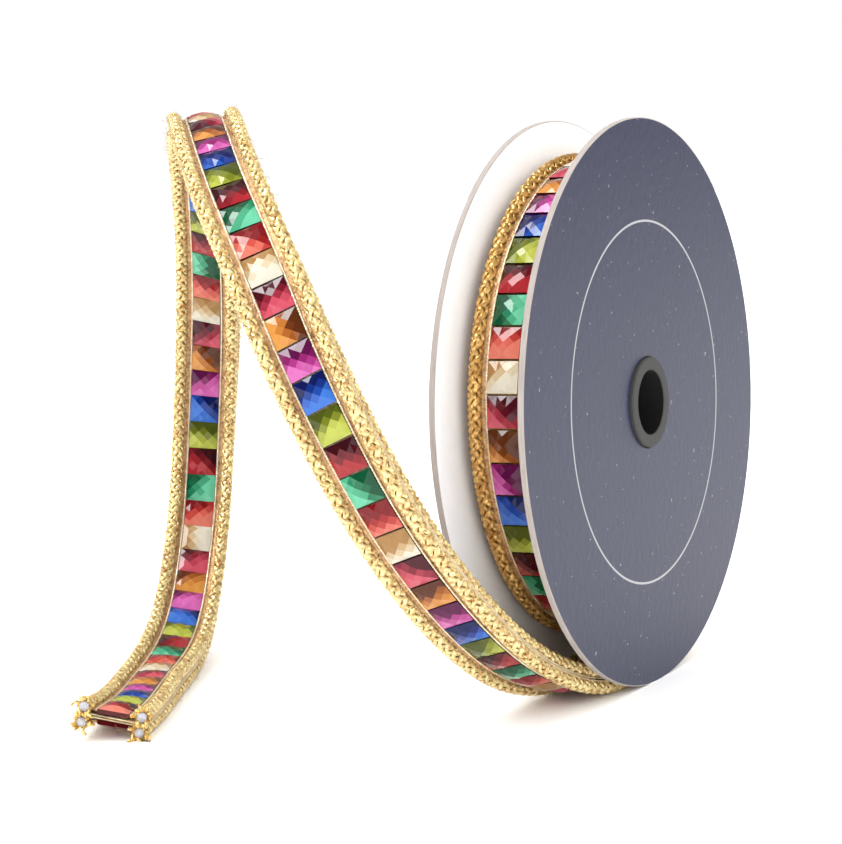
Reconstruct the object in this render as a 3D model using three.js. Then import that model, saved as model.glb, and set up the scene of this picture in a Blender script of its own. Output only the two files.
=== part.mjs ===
// A card spool of doubled jewelled trim. The spool stands on its rims, and the loose end comes off
// the bottom, loops up and over, and lies on the same surface.
//
// Millimetres, +Z up. The spool's axle lies along X. The origin is the middle of the near flange's
// foot, on the surface that the spool stands on.

import * as THREE from 'three';
import { mergeVertices } from 'three/addons/utils/BufferGeometryUtils.js';

// The card spool.
const FLANGE_RADIUS = 90;
const CARD = 2;
const FLANGE_GAP = 27;
const FOOT_DEPTH = 0.3;
const TUBE_RADIUS = 14.4;
const BORE_RADIUS = 10.3;
const TUBE_PROUD = 1.2;
const GAP = 0.3;
const FLANGE_STEPS = 36;
const TUBE_STEPS = 36;

const AXLE_HEIGHT = FLANGE_RADIUS - FOOT_DEPTH;
const NEAR_INNER_X = -CARD / 2;
const FAR_INNER_X = NEAR_INNER_X - FLANGE_GAP;
const SPOOL_MIDDLE_X = (NEAR_INNER_X + FAR_INNER_X) / 2;

// The doubled trim, in its own section: across its width, and out from the plane between its tapes.
const CORD_RADIUS = 2.2;
const CORD_ACROSS = 9.1;
const CORD_OUT = 2.4;
const CORD_SIDES = 8;
const TAPE_THICKNESS = 1;
const TAPE_HALF_WIDTH = 7;
const TRIM_HALF_THICKNESS = CORD_OUT + CORD_RADIUS;

// The stones, ten millimetres wide, with a valley between each two.
const STONE_HALF_WIDTH = 5;
const STONE_PITCH = 9.92;
const STONE_VALLEY = 2.0;
const STONE_SHOULDER = 2.8;
const STONE_CROWN = 4.0;
const STONE_SHOULDER_AT = 0.2;
const STONE_SEAT = 0.5;

// The wound turns. The outermost turn has slackened, so its radius falls from the step, where the
// loose end leaves, all the way round to the turn that lies under that step.
const ROLL_MIDDLE_X = -13.4;
const STEP_ANGLE = THREE.MathUtils.degToRad(40.3);
const STEP_RADIUS = 84;
const UNDER_RADIUS = 72.5;
const RECESS_HALF_WIDTH = 6.4;
const ROLL_STEPS = 60;
const ROLL_ROW_START = 5.2;
const ROLL_STONES = 46;

// The loose end. Its line runs smoothly by these stations, from the step of the roll to the cut
// end. heading and tilt, in degrees, turn its width: heading about Z from +X, tilt upwards.
const STATIONS = [
  { x: -13.5, y: 51, z: 29, heading: 0, tilt: 0 },
  { x: -13.8, y: 28.5, z: 10, heading: 0, tilt: 0 },
  { x: -14, y: 0, z: 4.3, heading: 0, tilt: 0 },
  { x: -14.5, y: -28.5, z: 3.6, heading: -4, tilt: 2 },
  { x: -18.5, y: -56, z: 12, heading: 0, tilt: 14 },
  { x: -20.5, y: -80.5, z: 27, heading: 6, tilt: 16 },
  { x: -23.5, y: -102.5, z: 46, heading: 7, tilt: 19 },
  { x: -30.5, y: -118, z: 69.5, heading: 4, tilt: 20 },
  { x: -40, y: -126, z: 95.5, heading: 6, tilt: 24 },
  { x: -52.5, y: -126.5, z: 121.5, heading: 19, tilt: 26 },
  { x: -67, y: -119.5, z: 146, heading: 33, tilt: 20 },
  { x: -84.5, y: -106, z: 165, heading: 37, tilt: 14 },
  { x: -101.5, y: -86.5, z: 178, heading: 35, tilt: 12 },
  { x: -118.5, y: -64, z: 185.5, heading: 36, tilt: 8 },
  { x: -135, y: -40.5, z: 183, heading: 32, tilt: -9 },
  { x: -149, y: -18.5, z: 170, heading: 20, tilt: -20 },
  { x: -161, y: 0, z: 151, heading: 12, tilt: -20 },
  { x: -171, y: 14.5, z: 128.5, heading: 14, tilt: -14 },
  { x: -180, y: 24.5, z: 103, heading: 22, tilt: -9 },
  { x: -186.5, y: 29, z: 75, heading: 30, tilt: -6 },
  { x: -187, y: 24, z: 46, heading: 33, tilt: -8 },
  { x: -181, y: 6.5, z: 22.5, heading: 32, tilt: -12 },
  { x: -170.5, y: -17.5, z: 9.5, heading: 27, tilt: -12 },
  { x: -159.5, y: -44, z: 5.2, heading: 22, tilt: -5 },
  { x: -149, y: -70.5, z: 4.4, heading: 24, tilt: 1 },
  { x: -136.5, y: -96.5, z: 4.6, heading: 24, tilt: -3 },
  { x: -126.5, y: -123, z: 6.5, heading: 18, tilt: -12 },
];
const ROUTE_SAMPLES = 1040;
const LOOSE_STEPS = 74;
const OUTER_ROW_START = -0.5;
const OUTER_ROW_STONES = 75;
const INNER_ROW_START = 6.4;
const INNER_ROW_STONES = 74;

const finishes = {
  slate: { color: 0x6a6c80, roughness: 0.55, metalness: 0 },
  white: { color: 0xe9e7e4, roughness: 0.6, metalness: 0 },
  grey: { color: 0x55565a, roughness: 0.85, metalness: 0 },
  gold: { color: 0xc79a4b, roughness: 0.4, metalness: 0.6 },
  tape: { color: 0xcbaa72, roughness: 0.8, metalness: 0 },
  glassRuby: { color: 0x9c1830, roughness: 0.12, metalness: 0 },
};

const spoolOfTrim = new THREE.Group();

function addPiece(name, geometry, finish) {
  const mesh = new THREE.Mesh(geometry, new THREE.MeshStandardMaterial(finishes[finish]));
  mesh.name = name;
  spoolOfTrim.add(mesh);
  return mesh;
}

// The skin through rings of points, all with the same count. Each face with four corners is split
// along its shorter diagonal.
function skinFaces(rings) {
  const count = rings[0].length;
  const faces = [];
  for (let ring = 0; ring < rings.length - 1; ring += 1) {
    for (let side = 0; side < count; side += 1) {
      const after = (side + 1) % count;
      const here = ring * count + side;
      const next = ring * count + after;
      const rising = rings[ring][side].distanceTo(rings[ring + 1][after]);
      const falling = rings[ring][after].distanceTo(rings[ring + 1][side]);
      if (rising < falling) {
        faces.push(here, next + count, next, here, here + count, next + count);
      } else {
        faces.push(here, here + count, next, next, here + count, next + count);
      }
    }
  }
  return faces;
}

// One body from rings of points and faces: points in one place are made one, and a face that is
// then no more than an edge is dropped.
function bodyFrom(rings, faces) {
  const loose = new THREE.BufferGeometry();
  const corners = rings.flat().flatMap((point) => point.toArray());
  loose.setAttribute('position', new THREE.Float32BufferAttribute(corners, 3));
  loose.setIndex(faces);
  const body = mergeVertices(loose, 1e-3);
  const kept = [];
  const index = body.getIndex().array;
  for (let face = 0; face < index.length; face += 3) {
    const [a, b, c] = index.slice(face, face + 3);
    if (a !== b && b !== c && c !== a) kept.push(a, b, c);
  }
  body.setIndex(kept);
  body.computeVertexNormals();
  return body;
}

// A closed body through rings of points, with flat ends.
function bodyThrough(rings) {
  const count = rings[0].length;
  const last = (rings.length - 1) * count;
  const faces = skinFaces(rings);
  for (let side = 1; side < count - 1; side += 1) {
    faces.push(0, side, side + 1, last, last + side + 1, last + side);
  }
  return bodyFrom(rings, faces);
}

// The flanges are card discs with a hole for the tube and a small flat where they stand.
function flangeGeometry() {
  const half = Math.acos(AXLE_HEIGHT / FLANGE_RADIUS);
  const disc = new THREE.Shape();
  disc.absarc(0, AXLE_HEIGHT, FLANGE_RADIUS, -Math.PI / 2 + half, 1.5 * Math.PI - half, false);
  const hole = new THREE.Path();
  hole.absarc(0, AXLE_HEIGHT, TUBE_RADIUS + GAP, 0, 2 * Math.PI, true);
  disc.holes.push(hole);
  const card = { depth: CARD, bevelEnabled: false, curveSegments: FLANGE_STEPS };
  const geometry = new THREE.ExtrudeGeometry(disc, card);
  const upright = new THREE.Matrix4().makeBasis(
    new THREE.Vector3(0, 1, 0),
    new THREE.Vector3(0, 0, 1),
    new THREE.Vector3(1, 0, 0),
  );
  return geometry.applyMatrix4(upright);
}

function buildSpool() {
  addPiece('near_flange', flangeGeometry(), 'slate').position.x = NEAR_INNER_X;
  addPiece('far_flange', flangeGeometry(), 'white').position.x = FAR_INNER_X - CARD;
  const half = FLANGE_GAP / 2 + CARD + TUBE_PROUD;
  const wall = [
    new THREE.Vector2(BORE_RADIUS, -half),
    new THREE.Vector2(TUBE_RADIUS, -half),
    new THREE.Vector2(TUBE_RADIUS, half),
    new THREE.Vector2(BORE_RADIUS, half),
    new THREE.Vector2(BORE_RADIUS, -half),
  ];
  const tube = addPiece('core_tube', new THREE.LatheGeometry(wall, TUBE_STEPS), 'grey');
  tube.rotation.z = -Math.PI / 2;
  tube.position.set(SPOOL_MIDDLE_X, 0, AXLE_HEIGHT);
}

// A place on the spool: an angle from the bottom towards the back, a radius, and a place along X.
function aroundAxle(x, radius, angle) {
  return new THREE.Vector3(x, radius * Math.sin(angle), AXLE_HEIGHT - radius * Math.cos(angle));
}

// The outer radius of the outermost turn, after turning from the step.
function turnRadius(turned) {
  return STEP_RADIUS - (STEP_RADIUS - UNDER_RADIUS) * (turned / (2 * Math.PI));
}

// The outline of the trim's outer face from its left edge to its right: across, and below the
// crest of the cords.
function trimSkyline() {
  const left = [];
  for (let step = 0; step <= CORD_SIDES / 2; step += 1) {
    const angle = Math.PI - (2 * Math.PI * step) / CORD_SIDES;
    left.push({
      across: -CORD_ACROSS + CORD_RADIUS * Math.cos(angle),
      below: CORD_RADIUS - CORD_RADIUS * Math.sin(angle),
    });
  }
  const tapeBelow = TRIM_HALF_THICKNESS - GAP / 2 - TAPE_THICKNESS;
  left.push({ across: -RECESS_HALF_WIDTH, below: tapeBelow });
  const right = left.map(({ across, below }) => ({ across: -across, below })).reverse();
  return [...left, ...right];
}

// The wound turns are one body: a ring whose outer face is the trim's, and whose radius falls from
// the step round to the turn beneath. A ledge on each side is where the two ends of that face meet.
function buildRoll() {
  const skyline = trimSkyline();
  const inner = TUBE_RADIUS + GAP;
  const ledge = UNDER_RADIUS - CORD_RADIUS;
  const edge = CORD_ACROSS + CORD_RADIUS;
  const rings = [];
  for (let step = 0; step <= ROLL_STEPS; step += 1) {
    const turned = (2 * Math.PI * step) / ROLL_STEPS;
    const place = (across, radius) => (
      aroundAxle(ROLL_MIDDLE_X + across, radius, STEP_ANGLE + turned)
    );
    const crest = turnRadius(turned);
    rings.push([
      place(-edge, inner),
      place(-edge, ledge),
      ...skyline.map(({ across, below }) => place(across, crest - below)),
      place(edge, ledge),
      place(edge, inner),
    ]);
  }
  const count = rings[0].length;
  const last = ROLL_STEPS * count;
  const faces = skinFaces(rings);
  for (let side = 1; side < count - 2; side += 1) {
    faces.push(side, side + 1, last + side + 1, side, last + side + 1, last + side);
  }
  addPiece('wound_roll', bodyFrom(rings, faces), 'gold');
}

// A row of stones as one strip: each stone has a low valley, two shoulders and a raised crown.
// lengthways lists where each ring of the strip lies in stones, and how high its middle stands.
function stoneRings(stones) {
  const rings = [];
  for (let stone = 0; stone < stones; stone += 1) {
    rings.push({ lengthways: stone, middle: STONE_VALLEY, edge: STONE_VALLEY });
    for (const at of [STONE_SHOULDER_AT, 1 - STONE_SHOULDER_AT]) {
      rings.push({ lengthways: stone + at, middle: STONE_CROWN, edge: STONE_SHOULDER });
    }
  }
  rings.push({ lengthways: stones, middle: STONE_VALLEY, edge: STONE_VALLEY });
  return rings;
}

// The outline across a row of stones, on its tape: base, edge, crown, edge.
function stoneSection(edge, middle) {
  const base = GAP / 2 + TAPE_THICKNESS + STONE_SEAT;
  return [
    { across: -STONE_HALF_WIDTH, out: base },
    { across: STONE_HALF_WIDTH, out: base },
    { across: STONE_HALF_WIDTH, out: edge },
    { across: 0, out: middle },
    { across: -STONE_HALF_WIDTH, out: edge },
  ];
}

function buildRollStones() {
  let turned = ROLL_ROW_START / (STEP_RADIUS - TRIM_HALF_THICKNESS);
  const turns = [turned];
  for (let stone = 0; stone < ROLL_STONES; stone += 1) {
    turned += STONE_PITCH / (turnRadius(turned) - TRIM_HALF_THICKNESS);
    turns.push(turned);
  }
  const rings = stoneRings(ROLL_STONES).map(({ lengthways, middle, edge }) => {
    const whole = Math.min(Math.floor(lengthways), ROLL_STONES - 1);
    const part = lengthways - whole;
    const angle = turns[whole] * (1 - part) + turns[whole + 1] * part;
    const radius = turnRadius(angle) - TRIM_HALF_THICKNESS;
    return stoneSection(edge, middle).map(({ across, out }) => (
      aroundAxle(ROLL_MIDDLE_X + across, radius + out, STEP_ANGLE + angle)
    ));
  });
  addPiece('roll_stones', bodyThrough(rings.reverse()), 'glassRuby');
}

// Four weights for a place between two stations, for a smooth line drawn by the stations, and how
// fast those weights change there.
function smoothWeights(t) {
  return [(1 - t) ** 3, 3 * t ** 3 - 6 * t ** 2 + 4, -3 * t ** 3 + 3 * t ** 2 + 3 * t + 1, t ** 3];
}

function smoothSlopes(t) {
  return [-3 * (1 - t) ** 2, 9 * t ** 2 - 12 * t, -9 * t ** 2 + 6 * t + 3, 3 * t ** 2];
}

// A value at a place counted in stations. Past each end the line goes straight on.
function blendStations(key, place, weightsAt) {
  const last = STATIONS.length - 1;
  const whole = Math.min(Math.floor(place), last - 1);
  const value = (station) => {
    if (station < 0) return 2 * STATIONS[0][key] - STATIONS[1][key];
    if (station > last) return 2 * STATIONS[last][key] - STATIONS[last - 1][key];
    return STATIONS[station][key];
  };
  return weightsAt(place - whole)
    .reduce((sum, weight, step) => sum + (weight * value(whole + step - 1)) / 6, 0);
}

// The line's place, its way forward, the way across its width, and the way out of its outer face.
function frameAtStation(place) {
  const centre = new THREE.Vector3(
    ...['x', 'y', 'z'].map((key) => blendStations(key, place, smoothWeights)),
  );
  const forward = new THREE.Vector3(
    ...['x', 'y', 'z'].map((key) => blendStations(key, place, smoothSlopes)),
  ).normalize();
  const heading = THREE.MathUtils.degToRad(blendStations('heading', place, smoothWeights));
  const tilt = THREE.MathUtils.degToRad(blendStations('tilt', place, smoothWeights));
  const across = new THREE.Vector3(
    Math.cos(tilt) * Math.cos(heading),
    Math.cos(tilt) * Math.sin(heading),
    Math.sin(tilt),
  );
  across.addScaledVector(forward, -across.dot(forward)).normalize();
  const out = new THREE.Vector3().crossVectors(across, forward);
  return { centre, across, out };
}

// Distances along the loose end, measured in short straight steps.
const measured = [{ place: 0, distance: 0 }];
for (let sample = 1; sample <= ROUTE_SAMPLES; sample += 1) {
  const place = ((STATIONS.length - 1) * sample) / ROUTE_SAMPLES;
  const before = measured[sample - 1];
  const stride = frameAtStation(place).centre.distanceTo(frameAtStation(before.place).centre);
  measured.push({ place, distance: before.distance + stride });
}
const LOOSE_LENGTH = measured[ROUTE_SAMPLES].distance;

function frameAtDistance(distance) {
  const beyond = measured.findIndex((mark) => mark.distance > distance);
  const next = beyond < 0 ? ROUTE_SAMPLES : beyond;
  const low = measured[next - 1];
  const high = measured[next];
  const part = (distance - low.distance) / (high.distance - low.distance);
  return frameAtStation(low.place + part * (high.place - low.place));
}

// A section of the trim carried to a distance along the loose end. What would go below the
// surface lies flat on it.
function sectionAt(distance, section) {
  const { centre, across, out } = frameAtDistance(distance);
  return section.map((corner) => {
    const point = centre.clone();
    point.addScaledVector(across, corner.across).addScaledVector(out, corner.out);
    point.z = Math.max(point.z, 0);
    return point;
  });
}

function carryAlong(section) {
  const rings = [];
  for (let step = 0; step <= LOOSE_STEPS; step += 1) {
    rings.push(sectionAt((LOOSE_LENGTH * step) / LOOSE_STEPS, section));
  }
  return bodyThrough(rings);
}

// Each trim has a tape with a cord sewn along both of its edges. The two trims lie back to back:
// side is +1 for the outer one and -1 for the inner one.
function buildLooseTape(name, side) {
  const near = (side * GAP) / 2;
  const far = side * (GAP / 2 + TAPE_THICKNESS);
  const low = Math.min(near, far);
  const high = Math.max(near, far);
  const section = [
    { across: -TAPE_HALF_WIDTH, out: low },
    { across: TAPE_HALF_WIDTH, out: low },
    { across: TAPE_HALF_WIDTH, out: high },
    { across: -TAPE_HALF_WIDTH, out: high },
  ];
  addPiece(name, carryAlong(section), 'tape');
}

function buildLooseCord(name, side, edge) {
  const section = [];
  for (let step = 0; step < CORD_SIDES; step += 1) {
    const angle = (2 * Math.PI * (step + 0.5)) / CORD_SIDES;
    section.push({
      across: edge * CORD_ACROSS + CORD_RADIUS * Math.cos(angle),
      out: side * CORD_OUT + CORD_RADIUS * Math.sin(angle),
    });
  }
  addPiece(name, carryAlong(section), 'gold');
}

// A row may start a little before the loose end does: its first stone is then cut short there.
function buildLooseStones(name, side, start, stones) {
  const rings = stoneRings(stones).map(({ lengthways, middle, edge }) => {
    const section = stoneSection(edge, middle).map(({ across, out }) => (
      { across: side * across, out: side * out }
    ));
    return sectionAt(Math.max(start + lengthways * STONE_PITCH, 0), section);
  });
  addPiece(name, bodyThrough(rings), 'glassRuby');
}

buildSpool();
buildRoll();
buildRollStones();
buildLooseTape('outer_tape', 1);
buildLooseTape('inner_tape', -1);
buildLooseCord('outer_cord_left', 1, -1);
buildLooseCord('outer_cord_right', 1, 1);
buildLooseCord('inner_cord_left', -1, -1);
buildLooseCord('inner_cord_right', -1, 1);
buildLooseStones('outer_stones', 1, OUTER_ROW_START, OUTER_ROW_STONES);
buildLooseStones('inner_stones', -1, INNER_ROW_START, INNER_ROW_STONES);

export default spoolOfTrim;
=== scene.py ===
import math

import bpy
import numpy as np
from mathutils import Matrix, Vector


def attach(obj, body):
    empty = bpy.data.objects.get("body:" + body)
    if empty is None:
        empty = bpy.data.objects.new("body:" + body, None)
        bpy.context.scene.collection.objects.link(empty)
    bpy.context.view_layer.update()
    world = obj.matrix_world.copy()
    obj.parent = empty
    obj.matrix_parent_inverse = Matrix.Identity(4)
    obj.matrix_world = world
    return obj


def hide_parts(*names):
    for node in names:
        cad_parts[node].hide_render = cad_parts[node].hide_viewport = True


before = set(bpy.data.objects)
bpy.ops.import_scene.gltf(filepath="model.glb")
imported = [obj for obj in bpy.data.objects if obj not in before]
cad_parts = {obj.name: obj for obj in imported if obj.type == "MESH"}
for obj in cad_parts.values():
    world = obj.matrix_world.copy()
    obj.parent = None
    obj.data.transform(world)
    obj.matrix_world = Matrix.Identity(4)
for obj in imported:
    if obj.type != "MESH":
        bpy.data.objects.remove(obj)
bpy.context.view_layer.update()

# The view. A long lens looks across the loose end at the near flange, from a little above the
# axle, and leans a few degrees to one side.
view_from = Vector((0.3326, -0.7610, 0.1858))
view_at = Vector((-0.0707, -0.0196, 0.0850))
view_lean = math.radians(-2.9)

lens = bpy.data.cameras.new("view")
lens.lens = 111.8
lens.sensor_width = 36.0
lens.clip_start = 0.05
viewer = bpy.data.objects.new("view", lens)
looking = (view_at - view_from).to_track_quat("-Z", "Y").to_matrix().to_4x4()
viewer.matrix_world = Matrix.Translation(view_from) @ looking @ Matrix.Rotation(view_lean, 4, "Z")
bpy.context.collection.objects.link(viewer)
bpy.context.scene.camera = viewer

# The studio. A bare white table in an even white room. What shines also mirrors the darker side
# of the room behind the viewer, and a soft light above and to the left of the viewer.
room_light = 2.05
dark_side, pale_side = 0.10, 0.4
soft_light = 16.0
soft_light_way = Vector((-0.38, -0.42, 0.80)).normalized()
soft_light_edge = (0.945, 0.955)

studio = bpy.data.worlds.new("studio")
studio.use_nodes = True
nodes, links = studio.node_tree.nodes, studio.node_tree.links
even = nodes["Background"]
even.inputs["Color"].default_value = (1.0, 1.0, 1.0, 1.0)
even.inputs["Strength"].default_value = room_light
sky_way = nodes.new("ShaderNodeTexCoord")
depth = nodes.new("ShaderNodeVectorMath")
depth.operation = "DOT_PRODUCT"
depth.inputs[1].default_value = (-0.6, 0.8, 0.2)
links.new(sky_way.outputs["Generated"], depth.inputs[0])
paler = nodes.new("ShaderNodeMapRange")
paler.interpolation_type = "SMOOTHSTEP"
paler.inputs["From Min"].default_value = 0.0
paler.inputs["From Max"].default_value = 0.95
paler.inputs["To Min"].default_value = dark_side
paler.inputs["To Max"].default_value = pale_side
links.new(depth.outputs["Value"], paler.inputs["Value"])
overhead = nodes.new("ShaderNodeVectorMath")
overhead.operation = "DOT_PRODUCT"
overhead.inputs[1].default_value = soft_light_way
links.new(sky_way.outputs["Generated"], overhead.inputs[0])
soft_box = nodes.new("ShaderNodeMapRange")
soft_box.interpolation_type = "SMOOTHSTEP"
soft_box.inputs["From Min"].default_value = soft_light_edge[0]
soft_box.inputs["From Max"].default_value = soft_light_edge[1]
soft_box.inputs["To Min"].default_value = 0.0
soft_box.inputs["To Max"].default_value = soft_light
links.new(overhead.outputs["Value"], soft_box.inputs["Value"])
mirrored = nodes.new("ShaderNodeMath")
mirrored.operation = "ADD"
links.new(paler.outputs["Result"], mirrored.inputs[0])
links.new(soft_box.outputs["Result"], mirrored.inputs[1])
room = nodes.new("ShaderNodeBackground")
room.inputs["Color"].default_value = (1.0, 1.0, 1.0, 1.0)
links.new(mirrored.outputs[0], room.inputs["Strength"])
backdrop = nodes.new("ShaderNodeBackground")
backdrop.inputs["Color"].default_value = (1.0, 1.0, 1.0, 1.0)
backdrop.inputs["Strength"].default_value = 1.0
ray = nodes.new("ShaderNodeLightPath")
by_shine = nodes.new("ShaderNodeMixShader")
links.new(ray.outputs["Is Glossy Ray"], by_shine.inputs[0])
links.new(even.outputs[0], by_shine.inputs[1])
links.new(room.outputs[0], by_shine.inputs[2])
by_view = nodes.new("ShaderNodeMixShader")
links.new(ray.outputs["Is Camera Ray"], by_view.inputs[0])
links.new(by_shine.outputs[0], by_view.inputs[1])
links.new(backdrop.outputs[0], by_view.inputs[2])
links.new(by_view.outputs[0], nodes["World Output"].inputs["Surface"])
bpy.context.scene.world = studio
bpy.context.scene.view_settings.view_transform = "Standard"

lamp_from = Vector((-0.40, -0.20, 1.2))
lamp_at = Vector((-0.02, 0.0, 0.06))
lamp = bpy.data.lights.new("soft_top", "AREA")
lamp.size = 0.8
lamp.energy = 2.0
lit = bpy.data.objects.new("soft_top", lamp)
aim = (lamp_at - lamp_from).to_track_quat("-Z", "Y").to_matrix().to_4x4()
lit.matrix_world = Matrix.Translation(lamp_from) @ aim
bpy.context.collection.objects.link(lit)

table_top = bpy.data.meshes.new("table_top")
reach = 4.0
table_top.from_pydata(
    [(-reach, -reach, 0.0), (reach, -reach, 0.0), (reach, reach, 0.0), (-reach, reach, 0.0)],
    [],
    [(0, 1, 2, 3)],
)
table_white = bpy.data.materials.new("table_white")
table_white.use_nodes = True
shader = table_white.node_tree.nodes["Principled BSDF"]
shader.inputs["Base Color"].default_value = (0.96, 0.96, 0.96, 1.0)
shader.inputs["Roughness"].default_value = 0.6
table_top.materials.append(table_white)
table = bpy.data.objects.new("table", table_top)
table.location.z = -0.0001
bpy.context.collection.objects.link(table)

# The two tapes. Each is a thin woven metallic ribbon, and the two lie back to back all along the
# trim. The loose end runs smoothly by the stations below, from the step of the roll to its cut
# end: x, y and z in metres, then the heading and tilt of its width, in degrees.
stations = np.array([
    (-0.0135, 0.0510, 0.0290, 0, 0),
    (-0.0138, 0.0285, 0.0100, 0, 0),
    (-0.0140, 0.0000, 0.0043, 0, 0),
    (-0.0145, -0.0285, 0.0036, -4, 2),
    (-0.0185, -0.0560, 0.0120, 0, 14),
    (-0.0205, -0.0805, 0.0270, 6, 16),
    (-0.0235, -0.1025, 0.0460, 7, 19),
    (-0.0305, -0.1180, 0.0695, 4, 20),
    (-0.0400, -0.1260, 0.0955, 6, 24),
    (-0.0525, -0.1265, 0.1215, 19, 26),
    (-0.0670, -0.1195, 0.1460, 33, 20),
    (-0.0845, -0.1060, 0.1650, 37, 14),
    (-0.1015, -0.0865, 0.1780, 35, 12),
    (-0.1185, -0.0640, 0.1855, 36, 8),
    (-0.1350, -0.0405, 0.1830, 32, -9),
    (-0.1490, -0.0185, 0.1700, 20, -20),
    (-0.1610, 0.0000, 0.1510, 12, -20),
    (-0.1710, 0.0145, 0.1285, 14, -14),
    (-0.1800, 0.0245, 0.1030, 22, -9),
    (-0.1865, 0.0290, 0.0750, 30, -6),
    (-0.1870, 0.0240, 0.0460, 33, -8),
    (-0.1810, 0.0065, 0.0225, 32, -12),
    (-0.1705, -0.0175, 0.0095, 27, -12),
    (-0.1595, -0.0440, 0.0052, 22, -5),
    (-0.1490, -0.0705, 0.0044, 24, 1),
    (-0.1365, -0.0965, 0.0046, 24, -3),
    (-0.1265, -0.1230, 0.0065, 18, -12),
])

axle_height = 0.0897
step_angle = math.radians(40.3)
step_radius = 0.0794
under_radius = 0.0679
turn_thickness = 0.0092
roll_middle_x = -0.0134


def unit(v):
    """v divided by its own length."""
    return v / np.linalg.norm(v, axis=-1, keepdims=True)


def blend_stations(place):
    """The stations and their slope at places counted in stations: sums of four stations each,
    weighted (1-t)^3, 3t^3-6t^2+4, -3t^3+3t^2+3t+1 and t^3, over six."""
    rows = np.vstack([2 * stations[0] - stations[1], stations, 2 * stations[-1] - stations[-2]])
    whole = np.clip(np.floor(place).astype(int), 0, len(stations) - 2)
    t = (place - whole)[:, None]
    weights = [(1 - t) ** 3, 3 * t**3 - 6 * t**2 + 4, -3 * t**3 + 3 * t**2 + 3 * t + 1, t**3]
    slopes = [-3 * (1 - t) ** 2, 9 * t**2 - 12 * t, -9 * t**2 + 6 * t + 3, 3 * t**2]
    value = sum(w * rows[whole + k] for k, w in enumerate(weights)) / 6
    slope = sum(s * rows[whole + k] for k, s in enumerate(slopes)) / 6
    return value, slope


places = np.linspace(0, len(stations) - 1, 8001)
walked = np.linalg.norm(np.diff(blend_stations(places)[0][:, :3], axis=0), axis=1)
walked = np.concatenate([[0], np.cumsum(walked)])
loose_length = float(walked[-1])


def turn_radius(turned):
    """The radius of the plane between the tapes after turning from the step: it falls evenly
    from the step to the turn beneath, and from there by one thickness a turn."""
    first = step_radius - (step_radius - under_radius) * turned / (2 * math.pi)
    later = under_radius - turn_thickness * (turned - 2 * math.pi) / (2 * math.pi)
    return np.where(turned < 2 * math.pi, first, later)


turns = np.linspace(0, 6.2 * 2 * math.pi, 24001)
unrolled = (turn_radius(turns)[1:] + turn_radius(turns)[:-1]) / 2 * np.diff(turns)
unrolled = np.concatenate([[0], np.cumsum(unrolled)])


def trim_frame(distance):
    """Centre, width way, forward way and outward way at distances along the trim. A distance
    above 0 is on the loose end, and one below 0 goes back round the roll from the step."""
    distance = np.asarray(distance, float)
    value, slope = blend_stations(np.interp(distance, walked, places))
    heading, tilt = np.radians(value[:, 3]), np.radians(value[:, 4])
    forward = unit(slope[:, :3])
    level = np.cos(tilt)
    width = np.stack([level * np.cos(heading), level * np.sin(heading), np.sin(tilt)], -1)
    width = unit(width - (width * forward).sum(-1, keepdims=True) * forward)
    turned = np.interp(-distance, unrolled, turns)
    angle = step_angle + turned
    radius = turn_radius(turned)
    none = np.zeros_like(angle)
    rolled = distance[:, None] < 0
    centre = np.stack(
        [none + roll_middle_x, radius * np.sin(angle), axle_height - radius * np.cos(angle)], -1
    )
    back = np.stack([none, -np.cos(angle), -np.sin(angle)], -1)
    side = np.stack([none + 1, none, none], -1)
    centre = np.where(rolled, centre, value[:, :3])
    forward = np.where(rolled, back, forward)
    width = np.where(rolled, side, width)
    return centre, width, forward, np.cross(width, forward)


def on_trim(distance, across, out):
    """Points of the trim: centre + across * width way + out * outward way at each distance, for
    grids across and out with one row for each distance. None goes below the table."""
    centre, width, _, outward = trim_frame(distance)
    points = centre[:, None] + across[..., None] * width[:, None] + out[..., None] * outward[:, None]
    points[..., 2] = np.maximum(points[..., 2], 0)
    return points


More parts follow.
